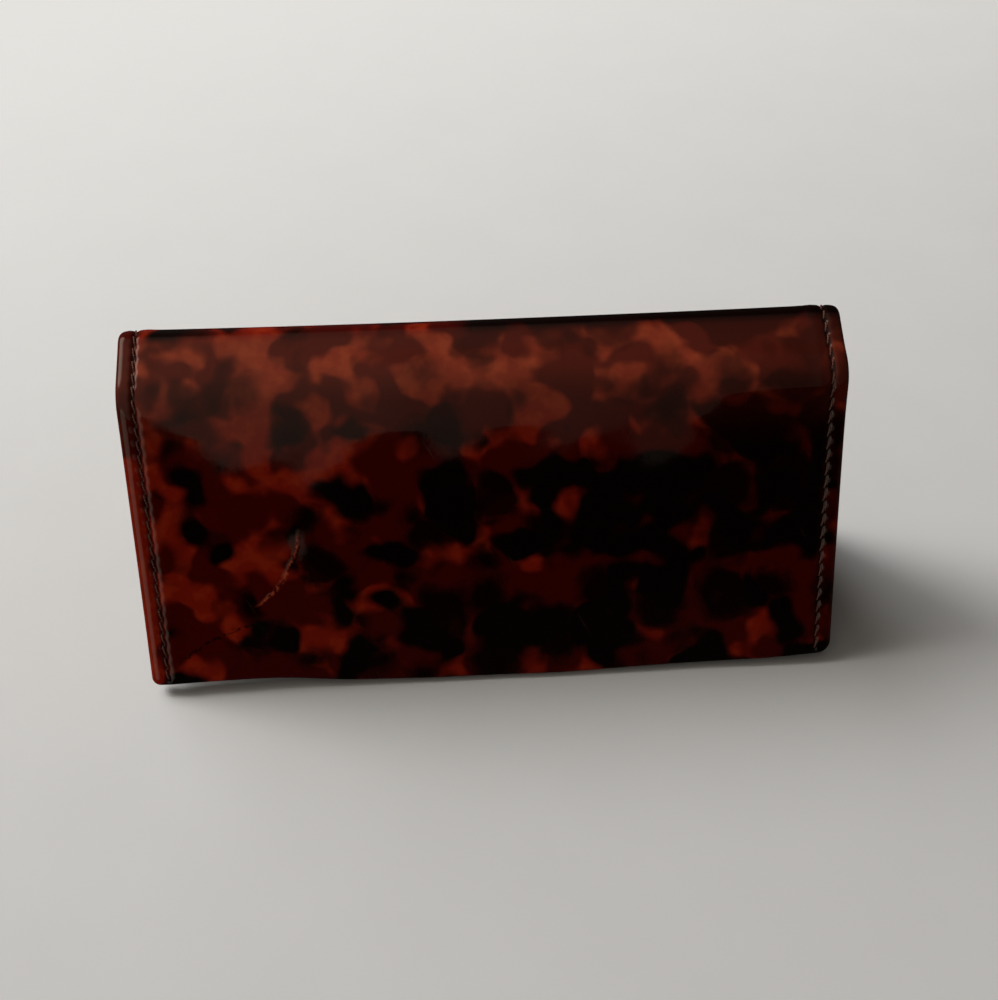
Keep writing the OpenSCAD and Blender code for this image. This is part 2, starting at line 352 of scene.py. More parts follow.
def strip_runs():
    """Arrays of start s, length, start point, heading, turn and radius; turn 0 is a flat."""
    corners, headings = panel_corners()
    radii = [0, BASE_R, BASE_R, RIDGE_R, CREASE_R, 0]
    turns = [0, *np.diff(headings), 0]
    cut = [r * math.tan(t / 2) for r, t in zip(radii, turns)]
    rows, s = [], 0.0
    for i, heading in enumerate(headings):
        if i:
            start = corners[i] - cut[i] * forward(headings[i - 1])
            rows.append((s, radii[i] * turns[i], start, headings[i - 1], turns[i], radii[i]))
            s += rows[-1][1]
        length = np.linalg.norm(corners[i + 1] - corners[i]) - cut[i] - cut[i + 1]
        rows.append((s, length, corners[i] + cut[i] * forward(heading), heading, 0, 0))
        s += length
    return [np.array(column) for column in zip(*rows)]


RUN_S, RUN_LEN, RUN_START, RUN_HEADING, RUN_TURN, RUN_R = strip_runs()
BASE_START, BACK_START, BACK_END, TOP_START, TOP_END, FLAP_START = RUN_S[[1, 4, 5, 6, 7, 8]]
FLAP_END = FLAP_START + RUN_LEN[8]
CREASE_S = (TOP_END + FLAP_START) / 2


def side_view(s, depth):
    """Y and Z of the point s along the strip and depth under its outer face."""
    s, depth = np.broadcast_arrays(np.asarray(s, float), np.asarray(depth, float))
    run = np.clip(np.searchsorted(RUN_S, s, side="right") - 1, 0, len(RUN_S) - 1)
    past = s - RUN_S[run]
    start, heading0, turn = RUN_START[run], RUN_HEADING[run], RUN_TURN[run]
    radius = RUN_R[run][..., None]
    heading = heading0 + turn * past / RUN_LEN[run]
    flat = start + past[..., None] * forward(heading0)
    bend = start - radius * outward(heading0) + radius * outward(heading)
    return np.where((turn == 0)[..., None], flat, bend) - depth[..., None] * outward(heading)


def at_bend(s):
    return (0.0, *map(float, side_view(s, 0.0)))


print("strip length in mm:", round(FLAP_END / MM, 1), "ridge starts at", round(BACK_END / MM, 1))
print("flap from", round(FLAP_START / MM, 1), "to", round(FLAP_END / MM, 1))

# %% [markdown]
# A worn case isn't flat. In the photograph the crease swells at the right end, foam plumps up
# the middle of the flap, and a dent at the lower left folds the flap along a crest that
# curves down and then runs out to the corner. The flap's lower edge sags in the middle until
# it nearly touches the floor, and the ridge has sunk between its two stiff ends. All of that
# is one smooth field over the flat map, so skin, foam, board and lining bend together.

# %% Shape of the worn flap
CREST_S = np.array([-30, 25, 32, 37.5, 45, 50, 56, 60.5, 67.4, 74]) * MM
CREST_X = np.array([-36, -40, -45, -44.3, -50, -55, -58, -67, -77.5, -88]) * MM
EDGE_X = np.array([-83, -72, -60, -50, -42, -36, -17, 3, 18, 37, 57, 71, 78, 83]) * MM
EDGE_RISE = np.array([0.1, 0.4, 0.55, 0.3, -0.5, -1.1, -1.55, -1.7, -1.8, -1.2, -0.9, -0.6,
                      -0.1, 0.2]) * MM
RIDGE_SAG = 0.5 * MM
# In mm: the swelling at both ends of the crease and how far the right half is drawn in, then
# the crest, the dent beside it and the small bump on it.
SWELL_LEFT, SWELL_RIGHT, DRAWN_IN = 0.10, 0.65, 0.3
CREST_RISE, DENT_DEPTH, BUMP_RISE = 0.5, 0.6, 0.15
# Waves: height, length across and along, shift.
WAVES = ((0.10, 13, 17, 2.95), (0.06, 7.3, -11, -1.31), (0.04, 4.1, 6.5, 0.10))


def ease(value, low, high):
    share = np.clip((value - low) / (high - low), 0, 1)
    return share * share * (3 - 2 * share)


def softened(at, reach, stations_at, values):
    """The line through the given points, averaged over reach so that it has no corners."""
    steps = (-reach, -reach / 2, 0, reach / 2, reach)
    return sum(np.interp(at + step, stations_at, values) for step in steps) / len(steps)


def crest_line(s):
    return softened(s - FLAP_START, 2.2 * MM, CREST_S, CREST_X)


def ridge_sag(x, s):
    near = ease(s, BACK_END - 14 * MM, BACK_END) * (1 - ease(s, TOP_END - 8 * MM, TOP_END))
    return RIDGE_SAG * near * np.clip(1 - (x / (80 * MM)) ** 2, 0, 1)


def flap_form(x, s):
    """Outward shift of every layer of top panel and flap."""
    below, across = (s - CREASE_S) / MM, x / MM
    left, right = ease(-across, 55, 84), ease(across, 25, 80)
    bulge = (SWELL_LEFT * left + SWELL_RIGHT * right) * np.exp(-((below - 1) / 6) ** 2)
    slant = (crest_line(s + 0.5 * MM) - crest_line(s - 0.5 * MM)) / MM
    side = (crest_line(s) - x) / MM / np.sqrt(1 + slant ** 2)
    inside = CREST_RISE - DENT_DEPTH * (1 - np.exp(-np.clip(side, 0, None) / 8))
    outside = CREST_RISE * np.exp(np.clip(side, None, 0) / 5)
    crest = np.where(side > 0, inside, outside) * ease(below, 31, 46)
    crest = crest + BUMP_RISE * np.exp(-((across + 57) ** 2 + (below - 40) ** 2) / 28)
    turn = -DRAWN_IN * right * np.sin(np.clip(below / 62, 0, 1) * math.pi)
    waves = sum(tall * np.sin(across / wide + below / long + shift)
                for tall, wide, long, shift in WAVES)
    return (ease(below, -11, -4) * (bulge + turn + waves) + crest) * MM - ridge_sag(x, s)


def flap_short(x, s):
    """How far the lower edge is drawn up: at the flared corner it is, in the middle it sags."""
    return softened(x, 4 * MM, EDGE_X, EDGE_RISE) * ease((s - FLAP_START) / MM, 38, 68)


def body_form(x, s):
    """The back and the front wall are flat boards, with only a faint unevenness."""
    along = s / MM
    uneven = -0.06 * MM * (1 + np.sin(x / MM / 17 + along / 23) * np.sin(along / 14 + 1.0))
    return uneven - ridge_sag(x, s)


def ridge_form(x, s):
    """Hands over from the back's form to the flap's, so that the cuts meet."""
    share = ease(s, BACK_END, TOP_START)
    return body_form(x, s) * (1 - share) + flap_form(x, s) * share


def with_x(x, place):
    return np.concatenate([x[..., None], place], axis=-1)


def placed(x, s, depth, form):
    """3-D points of the flat map, at a depth that follows the form."""
    short = flap_short(x, s) if form is flap_form else 0
    return with_x(x, side_view(s - short, depth - form(x, s)))


def above_floor(points):
    points[..., 2] = np.maximum(points[..., 2], 0)
    return points


print("deepest sag of the lower edge in mm:", EDGE_RISE.min() / MM)

# %% [markdown]
# Stitching is what holds the edges together, and it shapes the skin: each needle hole pulls
# it down, the thread lies in a shallow channel, and the foam swells up beside it. The same
# stitch stations serve the channel here and the thread further down.

# %% Stitch stations and the pull of the thread
STITCH_EDGE, PITCH = 4 * MM, 3.2 * MM
LAST_STITCH = FLAP_END - 3.0 * MM
EDGE_PRESS, FOAM_SWELL, LINING_PULL = 0.32 * MM, 0.30 * MM, 0.6
CHANNEL_DEPTH, HOLE_DEPTH, SWELL_INSIDE, SWELL_OUTSIDE = 0.36, 0.32, 0.13, 0.10


def stitch_pull(x, s):
    """How far the stitched skin sinks below its plain face."""
    off = (HALF_W - np.abs(x) - STITCH_EDGE) / MM
    phase = (s - LAST_STITCH) / PITCH
    to_hole = np.abs(phase - np.floor(phase) - 0.5) * PITCH / MM
    row = ease(FLAP_END - s, 0.4 * MM, 1.6 * MM)
    channel = CHANNEL_DEPTH * np.exp(-(off / 0.55) ** 2)
    holes = HOLE_DEPTH * np.exp(-(off / 0.8) ** 2 - (to_hole / 0.6) ** 2)
    inside = SWELL_INSIDE * np.exp(-((off - 2.6) / 1.5) ** 2)
    outside = SWELL_OUTSIDE * np.exp(-((off + 2) / 0.9) ** 2)
    return (channel + holes - (inside + outside)) * row * MM


def lay(x, s, depth, form):
    """3-D points of the stitched skin: the form shifts it, the stitches pull at both faces."""
    x, s, depth = np.broadcast_arrays(*(np.asarray(v, float) for v in (x, s, depth)))
    outer = np.clip(1 - depth / WALL_T, 0, 1)
    pull = stitch_pull(x, s)
    sunk = depth + pull * np.where(outer > 0.5, outer, 0)
    sunk = sunk - LINING_PULL * pull * np.where(outer < 0.5, 1 - outer, 0)
    sunk = sunk + outer * EDGE_PRESS * ease(np.abs(x), HALF_W - 4.5 * MM, HALF_W)
    if form is flap_form:
        foam = ease(HALF_W - np.abs(x), 5 * MM, 22 * MM) * ease(FLAP_END - s, 4 * MM, 20 * MM)
        sunk = sunk - outer * FOAM_SWELL * foam * ease(s - CREASE_S, 0, 10 * MM)
        return above_floor(placed(x, s, sunk, form))
    on_base = (s > BASE_START) & (s < BACK_START)
    shifted = sunk - form(x, s)
    return with_x(x, side_view(s, np.where(on_base, np.maximum(shifted, 0), shifted)))


stations = np.arange(LAST_STITCH, 2.5 * MM, -PITCH)
print("stitches along one edge:", len(stations), "pitch in mm:", PITCH / MM)

# %% [markdown]
# Most pieces are sheets or tubes: rows of points that become faces. The helpers below make
# the mesh and store two maps on it. The map "strip" is the flat map in metres, so that the
# pattern runs on over every fold, and the map "reach" tells how far a point is from the
# edges, for wear and stitching. Solidify gives a sheet its real thickness, inwards.

# %% Mesh helpers
def new_piece(name, points, faces, strip, reach=None, wall=0, flip=False, sharp=42):
    """A mesh with both maps, thickened by wall, and smooth but for edges over sharp degrees."""
    mesh = bpy.data.meshes.new(name)
    faces = [[int(v) for v in (f[::-1] if flip else f)] for f in faces]
    mesh.from_pydata(points.reshape(-1, 3).tolist(), [], faces)
    corners = np.zeros(len(mesh.loops), np.int32)
    mesh.loops.foreach_get("vertex_index", corners)
    for label, values in (("strip", strip), ("reach", strip if reach is None else reach)):
        layer = mesh.uv_layers.new(name=label)
        layer.data.foreach_set("uv", values.reshape(-1, 2)[corners].astype(np.float32).ravel())
    piece = show(name, mesh)
    if wall:
        solid = piece.modifiers.new("wall", "SOLIDIFY")
        solid.thickness = wall
        solid.offset = -1
        solid.use_quality_normals = True
        graph = bpy.context.evaluated_depsgraph_get()
        piece.data = bpy.data.meshes.new_from_object(
            piece.evaluated_get(graph), preserve_all_data_layers=True, depsgraph=graph)
        piece.modifiers.clear()
        bpy.data.meshes.remove(mesh)
    piece.data.shade_smooth()
    if sharp:
        piece.data.set_sharp_from_angle(angle=math.radians(sharp))
    return piece


def give(mesh, material):
    mesh.materials.clear()
    mesh.materials.append(material)


def finish_piece(piece, material):
    give(piece.data, material)
    return piece


def columns(half_w, near_edge, middle, count):
    """X of the columns of a sheet: some near each edge, and count from middle to middle."""
    left = near_edge - half_w
    return np.concatenate([left, np.linspace(middle - half_w, half_w - middle, count), -left[::-1]])


def grid_faces(rows, across):
    a = (np.arange(rows - 1)[:, None] * across + np.arange(across - 1)).ravel()
    return stack(a, a + across, a + across + 1, a + 1).tolist()


def ring_faces(rings, around, first=0, hollow=False, way=1):
    """Faces of a tube of rings and of its ends; hollow leaves the first end open."""
    ids = first + np.arange(rings * around).reshape(rings, around)
    near, far = ids[:-1], ids[1:]
    near2, far2 = np.roll(near, -1, axis=1), np.roll(far, -1, axis=1)
    quads = (near, far, far2, near2) if way > 0 else (near, near2, far2, far)
    ends = [] if hollow else [ids[0][::way].tolist()]
    return stack(*quads).reshape(-1, 4).tolist() + ends + [ids[-1][::-way].tolist()]


print("mesh helpers ready")

# %% [markdown]
# Tortoiseshell skin is a printed leather cloth under a clear glossy film. The print has a
# red-brown ground, amber patches and almost black ones, all with soft borders. One group
# paints it from three fields: noise for the irregular amber, noise again for the dark, and
# rounded dark spots, one to a cell. A bias input makes a region darker or lighter, for the
# print and for painted light and shade. The other groups give the film its swells, its
# scuffs, pale specks that are partly dust and partly painted glints, rubbed edges, a line
# along the stitching for painted shade in its channel and for grime, and the fine line along
# a fold, which the skin paints pale as glints on one fold and dark as shade on the other.

# %% Shader groups for the skin
GLOW = (0.34, 0.028, 0.006)


def patches(where, shift, size, bias, low, high):
    """Irregular soft patches of the given size; a higher bias makes them grow and join."""
    field = noise(vector("ADD", where, shift), size, 1.6, 0.45)
    return smooth_step(calc("ADD", field, bias), low, high)


def round_spots(where, shift, size, small, large, edge, bias):
    """Soft spots, one to a cell of the given size, that run together where they meet."""
    moved = vector("ADD", where, shift)
    cells = add("ShaderNodeTexVoronoi",
                {"Vector": moved, "Scale": 1 / size, "Randomness": 0.95, "Smoothness": 0.5},
                feature="SMOOTH_F1", voronoi_dimensions="2D")
    chance = part(cells.outputs["Color"], 0)
    radius = calc("ADD", calc("MULTIPLY_ADD", chance, large - small, small), bias)
    gap = calc("SUBTRACT", cells.outputs["Distance"], radius)
    fringe = noise(moved, size * 0.42, 2.5, 0.55)
    gap = calc("ADD", gap, calc("MULTIPLY_ADD", fringe, 0.5, -0.25))
    return smooth_step(gap, edge, -edge)


def print_recipe(where, bias, depth, amber_tint, brown, core):
    """The map is first pushed about by up to 5 mm, so that no patch keeps a plain outline."""
    push = vector("SUBTRACT", noise(where, 0.011, 1.0, 0.5, 1), (0.5, 0.5, 0.5))
    warped = vector("MULTIPLY_ADD", push, (0.005, 0.005, 0.0), where)
    amber = patches(warped, (0.310, 0.570, 0), 0.0105, times(bias, -0.35), 0.485, 0.61)
    deep = patches(warped, (0.771, 0.229, 0), 0.0120, times(bias, 0.50), 0.500, 0.625)
    spots = round_spots(warped, (0.459, 0.383, 0), 0.0140, -0.35, 0.50, 0.21, bias)
    fleck = blotches(where, 0.005, 0.42, 0.66, 2.0, 0.6)
    glow = mix_colours(times(fleck, 0.5), amber_tint, GLOW)
    ground = mix_colours(times(amber, 0.9), brown, glow)
    dark = calc("MAXIMUM", deep, times(spots, 0.96))
    return [mix_colours(times(dark, depth), ground, core)]


def apart(a, b, squash=(1, 1, 1)):
    gap = vector("MULTIPLY", vector("SUBTRACT", a, b), squash)
    return vector("LENGTH", gap, output="Value")


def spot_recipe(where, centre, squash, reach, strength):
    """A value that is strength at the centre and fades to 0 at reach."""
    share = calc("DIVIDE", apart(where, centre, squash), reach)
    return [times(smooth_step(share, 1.0, 0.1), strength)]


def fold_recipe(where, centre, radius, middle, reach, width):
    """1 along an arc of that centre and radius near its middle, and 0 beside it."""
    ragged = calc("MULTIPLY_ADD", noise(where, 0.004, 2.0), 0.0016, -0.0008)
    off = calc("ADD", calc("SUBTRACT", apart(where, centre), radius), ragged)
    line = smooth_step(calc("DIVIDE", calc("ABSOLUTE", off), width), 1.0, 0.0)
    share = calc("DIVIDE", apart(where, middle), reach)
    return [times(line, smooth_step(share, 1.0, 0.6))]


def film_recipe(where):
    """Height of the clear film, in micrometres: long swells, drawn grain and tiny pits."""
    drawn = vector("MULTIPLY", where, (1.0, 0.22, 1.0))
    fine = calc("ADD", times(noise(drawn, 0.0011, 2.0), 9.0), times(noise(where, 0.0035, 1.0), 5.0))
    return [calc("ADD", times(noise(where, 0.016, 1.0), 60.0), fine)]


def marks_recipe(where, amount):
    """Traces of use: fine scuffs that dull the gloss, and pale specks that are partly dust and partly
    painted glints.
    """
    turned = add("ShaderNodeVectorRotate", {"Vector": where, "Angle": 0.5},
                 rotation_type="Z_AXIS").outputs[0]
    lines = blotches(vector("MULTIPLY", turned, (1.0, 0.06, 1.0)), 0.0009, 0.66, 0.74)
    areas = blotches(where, 0.02, 0.50, 0.68)
    specks = add("ShaderNodeTexVoronoi", {"Vector": where, "Scale": 1 / 0.009, "Randomness": 1.0},
                 feature="F1").outputs
    dot = smooth_step(specks["Distance"], 0.020, 0.008)
    rare = smooth_step(part(specks["Color"], 1), 0.88, 0.90)
    return [times(times(lines, areas), amount), times(dot, rare)]


def edge_recipe(where, distance, line):
    """Masks from the distance to an edge: rubbed corners, and a line along the stitching that carries
    painted shade in its channel and grime.
    """
    ragged = times(noise(where, 0.004, 3.0), 0.0016)
    beside = calc("ABSOLUTE", calc("SUBTRACT", distance, line))
    return [smooth_step(calc("ADD", distance, ragged), 0.0021, 0.0006),
            smooth_step(beside, 0.0009, 0.00025)]


TORTOISESHELL = new_group(
    "Tortoiseshell", ["Color"], print_recipe, Bias=0.0, Depth=1.0, Amber=(0.215, 0.0100, 0.0026, 1),
    Brown=(0.053, 0.0015, 0.0007, 1), Core=(0.0026, 0.0002, 0.0002, 1))
SOFT_SPOT = new_group("Soft spot", ["Value"], spot_recipe, Centre=(0, 0, 0), Squash=(1, 1, 1),
                      Reach=0.03, Strength=0.2)
FOLD_LINE = new_group("Fold line", ["Value"], fold_recipe, Centre=(0, 0, 0), Radius=0.02,
                      Middle=(0, 0, 0), Reach=0.01, Width=0.0006)
FILM = new_group("Film waves", ["Height"], film_recipe)
MARKS_AND_GLINTS = new_group("Handling marks and glints", ["Scuffs", "Dust and glints"], marks_recipe, Amount=0.5)
EDGE_WEAR_AND_GROOVE_SHADE = new_group("Edge wear and groove shade", ["Rubbed", "Groove shade and grime"], edge_recipe, Distance=0.01, Line=0.004)
print("skin groups:", [g.name for g in bpy.data.node_groups])

# %% [markdown]
# The skin's material joins those groups. The colour lies under the gloss, so one shader with
# a low roughness does for print and film together. Soft spots say where the print is crowded
# with black, as right of the middle of the flap, and where amber shows, as at the lower left.
# Three spots paint light instead: painted shade along the ridge and on the lower flap, and a
# painted orange highlight along the flap's left edge.
# Two fold lines cross the dent at the lower left: one is pale, with painted glints broken up
# like a crack, the other dark with painted shade.
# The top panel gets painted light and reflection: its darks are lighter, its amber more orange,
# and a pale warm tint is mixed in.

# %% Skin material
# Places are in mm: across the case from its middle, and along the strip from the crease.
# Spots: place, squash, size, strength. Most place the print; three, marked below, paint light.
PRINT_AND_LIGHT_SPOTS = [
    ((46, 38), (0.62, 1.0), 38, 0.25),
    ((-14, 34), (0.8, 1.0), 27, 0.14),
    # Painted shade on the lower flap.
    ((10, 62), (0.26, 1.0), 22, 0.10),
    ((66, 16), (1.0, 1.0), 20, 0.18),
    ((-62, 38), (1.0, 0.8), 24, -0.06),
    ((-38, 19), (0.7, 1.7), 22, -0.17),
    ((20, -4), (0.5, 1.2), 26, -0.10),
    ((68, -8), (1.0, 1.0), 24, 0.17),
    ((-46, -6), (0.6, 1.2), 26, -0.16),
    # Painted highlight: an orange strip along the flap's left edge.
    ((-82, 38), (6.0, 1.0), 38, -0.60),
    # Painted shade along the ridge, mostly on its right half.
    ((45, 155 - CREASE_S / MM), (0.09, 1.0), 7.5, 0.55),
]
# Folds: centre and radius of the arc, its middle, reach, width, rise in micrometres, tint
# and share of the tint. The first tint paints pale glints along the crease, the second paints
# shade in the fold.
FOLDS_WITH_PAINTED_LIGHT = [
    # Painted pale glints along the crest of the dent.
    ((-70.1, 30.6), 25.3, (-49, 43.5), 13, 0.9, 30, (0.42, 0.075, 0.030), 0.80),
    # Painted dark shade along the lower fold.
    ((-36.4, 117.4), 64.7, (-66, 60), 15, 1.1, 0, (0.002, 0.001, 0.001), 0.90),
]
# Painted light and reflection on the top panel: lighter darks, a shift to orange, a pale warm tint.
TOP_LIT_DARKS, TOP_LIT_SHIFT, TOP_LIT_SHARE = -0.22, (-0.06, 0.078, 0.034), 0.075
TOP_LIT_TINT, GROOVE_SHADE_AND_GRIME, RUBBED, SCUFFED, DUST_AND_GLINTS = ((0.36, 0.030, 0.012), (0.004, 0.002, 0.0015),
                                       (0.10, 0.02, 0.006), (0.16, 0.07, 0.04), (0.6, 0.55, 0.5))
GLOSS = 0.045


def on_strip(place):
    return place[0] * MM, place[1] * MM + CREASE_S, 0


def skin_material(name, marks=0.5, spots=(), painted_light_folds=(), groove_shade_and_grime=0.55, top_lit=0.0):
    def recipe(strip, reach):
        bias = 0.0
        for place, squash, size, strength in spots:
            spot = place_group(SOFT_SPOT, strip, Centre=on_strip(place), Squash=(*squash, 1),
                               Reach=size * MM, Strength=strength)
            bias = calc("ADD", bias, spot["Value"])
        along = part(strip, 1)
        # Where the top panel's painted light lies: from the ridge to a little below the crease.
        top_lit_mask = times(smooth_step(along, TOP_START - MM, TOP_START + 2 * MM),
                     smooth_step(along, CREASE_S + 18 * MM, CREASE_S - 6 * MM))
        depth = calc("MULTIPLY_ADD", top_lit_mask, TOP_LIT_DARKS * top_lit, 1.0)
        printed = place_group(TORTOISESHELL, strip, Bias=bias, Depth=depth)
        wear = place_group(MARKS_AND_GLINTS, strip, Amount=marks)
        edge = place_group(EDGE_WEAR_AND_GROOVE_SHADE, strip, Distance=part(reach, 0), Line=STITCH_EDGE)
        red = times(part(printed["Color"], 0), times(top_lit_mask, top_lit))
        colour = vector("MULTIPLY_ADD", red, TOP_LIT_SHIFT, printed["Color"])
        for share, tint in ((times(top_lit_mask, TOP_LIT_SHARE * top_lit), TOP_LIT_TINT),
                            # Painted shade in the stitch channel, mixed with grime.
                            (times(edge["Groove shade and grime"], groove_shade_and_grime), GROOVE_SHADE_AND_GRIME),
                            (times(edge["Rubbed"], 0.35), RUBBED),
                            (times(wear["Scuffs"], 0.25), SCUFFED),
                            # Pale specks: partly dust, partly painted glints.
                            (wear["Dust and glints"], DUST_AND_GLINTS)):
            colour = mix_colours(share, colour, tint)
        height = place_group(FILM, strip)["Height"]
        for centre, radius, middle, size, width, rise, tint, share in painted_light_folds:
            line = place_group(FOLD_LINE, strip, Centre=on_strip(centre), Radius=radius * MM,
                               Middle=on_strip(middle), Reach=size * MM, Width=width * MM)["Value"]
            height = calc("MULTIPLY_ADD", line, rise, height)
            # Each fold's tint is painted light: pale glints on the first, dark shade on the second.
            broken = blotches(strip, 0.0012, 0.40, 0.60, 2.0, 0.6)
            painted_fold_light = times(calc("POWER", line, 2.0), times(broken, share))
            colour = mix_colours(painted_fold_light, colour, tint)
        dull = GLOSS
        for mask, share in ((wear["Scuffs"], 0.30), (edge["Rubbed"], 0.10), (wear["Dust and glints"], 0.6)):
            dull = calc("MULTIPLY_ADD", mask, share, dull)
        return {"Base Color": colour, "Height": height, "Roughness": dull}

    film = {"IOR": 1.45, "Specular Tint": (1, 0.87, 0.76, 1)}
    return new_material(name, recipe, film, ("strip", "reach"))


SKIN = skin_material("tortoiseshell_skin", spots=PRINT_AND_LIGHT_SPOTS, painted_light_folds=FOLDS_WITH_PAINTED_LIGHT, top_lit=1.0)
SKIN_BODY = skin_material("tortoiseshell_body")
SKIN_GUSSET = skin_material("tortoiseshell_gusset", marks=0.3, groove_shade_and_grime=0.0)
print("skin nodes:", len(SKIN.node_tree.nodes))

# %% [markdown]
# The outer cover is cut in three where nobody sees it: one piece for the front wall, base
# and back, which never bend, one for the ridge, and one for crease and flap. The cuts lie on
# flats. Across the strip the skin goes round the edge and 6 mm in on the inside, as leather is
# turned round its board.

# %% Section across the strip
EDGE_R = 1.3 * MM
COVER_T = SKIN_T * 0.9
TURNED_IN = (2.0, 2.6, 3.0, 3.35, 3.65, 3.9, 4.15, 4.4, 4.7, 5.1, 5.6, 6.1)
NEAR_EDGE = np.array([1.3, 1.8, 2.3, 2.7, 3.05, 3.35, 3.6, 3.8, 4.0, 4.2, 4.4, 4.65, 4.95, 5.3,
                      5.8, 6.4, 7.2, 8.2]) * MM
RIDGE_CUT = BACK_END - 1.6 * MM
TOP_CUT = (TOP_START + TOP_END) / 2


def edge_rings():
    """Inset from the edge and depth, from the face round the edge to the turned end inside."""
    quarter = np.linspace(0, math.pi / 2, 6)
    near, far = EDGE_R * (1 - np.sin(quarter)), EDGE_R * (1 - np.cos(quarter))
    inside = [(d * MM, WALL_T) for d in TURNED_IN] + [(6.6 * MM, WALL_T - 0.5 * MM)]
    return np.concatenate([stack(near, far), stack(far, WALL_T - near), inside])


def length_along(points):
    return np.concatenate([[0], np.cumsum(np.linalg.norm(np.diff(points, axis=0), axis=1))])


RINGS = edge_rings()
RING_RUN = length_along(RINGS)
FACE_X = columns(HALF_W, NEAR_EDGE, 9.4 * MM, 103)


def open_cover(name, s_rows, form):
    """A length of the strip that is open at both ends."""
    def across(left, face, right):
        return np.concatenate([left[::-1], face, right])

    (inset, depth), run = RINGS[1:].T, RING_RUN[1:]
    x = across(inset - HALF_W, FACE_X, HALF_W - inset)
    u = across(EDGE_R - HALF_W - run, FACE_X, HALF_W - EDGE_R + run)
    reach = np.abs(EDGE_R - run)
    from_edge = across(reach, HALF_W - np.abs(FACE_X), reach)
    s = np.array(s_rows)[:, None]
    points = lay(x, s, across(depth, 0 * FACE_X, depth), form)
    return new_piece(name, points, grid_faces(len(s), len(x)), stack(u, s), stack(from_edge, s),
                     wall=COVER_T)


body_cover = open_cover("body_cover", [*np.arange(0, RIDGE_CUT, MM), RIDGE_CUT], body_form)
finish_piece(body_cover, SKIN_BODY)
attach(body_cover, "case_body")
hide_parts("cover_skin")
ridge_cover = open_cover("ridge_cover", np.linspace(RIDGE_CUT, TOP_CUT, 34), ridge_form)
finish_piece(ridge_cover, SKIN)
at_bend(BACK_END)
at_bend(TOP_START)
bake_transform(ridge_cover)
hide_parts("ridge_fold_skin", "top_skin")
print("body cover vertices:", len(body_cover.data.vertices))

# %% [markdown]
# The flap's cover closes on three sides like a pillowcase, and its two lower corners are
# rounded. Its face is a grid whose border is pushed onto a rounded outline, and rings of
# points carry that border round the edge and in on the inside.

# %% Flap cover
LEFT_CORNER_R = 2.0 * MM


def rounded(x, s, inset):
    """Moves points of the rectangle's lower corners onto a quarter disc, tighter on the left."""
    radius = np.where(x < 0, LEFT_CORNER_R, CORNER_R)
    r = np.maximum(radius - inset, 1e-9)
    cx, cs = HALF_W - radius, FLAP_END - radius
    a = np.clip((np.abs(x) - cx) / r, 0, 1)
    b = np.clip((s - cs) / r, 0, 1)
    inside = (a > 0) & (b > 0)
    x2 = np.sign(x) * (cx + r * a * np.sqrt(1 - b * b / 2))
    s2 = cs + r * b * np.sqrt(1 - a * a / 2)
    return np.where(inside, x2, x), np.where(inside, s2, s)


def closed_cover(name, s_rows):
    """The flap's end of the strip: a face and rings on three sides."""
    x, s = np.meshgrid(FACE_X, s_rows)
    rows, cols = x.shape
    border = ([(i, 0) for i in range(rows)] + [(rows - 1, j) for j in range(1, cols)]
              + [(i, cols - 1) for i in range(rows - 2, -1, -1)])
    bi, bj = np.array(border).T
    bx, bs = x[bi, bj], s[bi, bj]
    over_x = np.where((bj == 0) | (bj == cols - 1), np.sign(bx), 0.0)
    over_s = np.where(bi == rows - 1, 1.0, 0.0)
    first, inset0 = s_rows[0], RINGS[0, 0]
    fx, fs = (v.ravel() for v in rounded(x, s, inset0))
    flat = [(fx, fs, RINGS[0, 1], fx, fs, HALF_W - np.abs(fx), FLAP_END - fs)]
    for (inset, depth), run in zip(RINGS[1:], RING_RUN[1:]):
        rx = bx * (HALF_W - inset) / (HALF_W - inset0)
        rs = first + (bs - first) * (FLAP_END - inset - first) / (FLAP_END - inset0 - first)
        rx, rs = rounded(rx, rs, inset)
        from_edge = np.where(over_x != 0, abs(inset0 - run), HALF_W - np.abs(rx))
        flat.append((rx, rs, depth, bx + over_x * run, bs + over_s * run, from_edge, FLAP_END - rs))
    flat = np.concatenate([stack(*ring) for ring in flat])
    ring = [bi * cols + bj] + [rows * cols + k * len(border) + np.arange(len(border))
                               for k in range(len(RINGS) - 1)]
    faces = grid_faces(rows, cols)
    for near, far in zip(ring, ring[1:]):
        faces += stack(near[:-1], far[:-1], far[1:], near[1:]).tolist()
    return new_piece(name, lay(*flat[:, :3].T, flap_form), faces, flat[:, 3:5], flat[:, 5:],
                     wall=COVER_T)


flap_rows = [*np.arange(TOP_CUT, FLAP_END - EDGE_R - 0.5 * MM, PITCH / 5), FLAP_END - EDGE_R]
flap_cover = closed_cover("flap_cover", flap_rows)
finish_piece(flap_cover, SKIN)
at_bend(TOP_END)
at_bend(FLAP_START)
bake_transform(flap_cover)
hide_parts("top_skin", "crease_fold_skin", "flap_skin")
print("flap cover vertices:", len(flap_cover.data.vertices))

# %% [markdown]
# Inside, a soft microsuede covers the boards and runs over the folds, where it lies straight
# on the back of the skin. It is one strip too. Each length is a sheet whose depth follows the
# boards and dips at the folds, with edges that roll over the turned skin. Its nap shows soft
# patches where it was stroked, and a fine tooth.

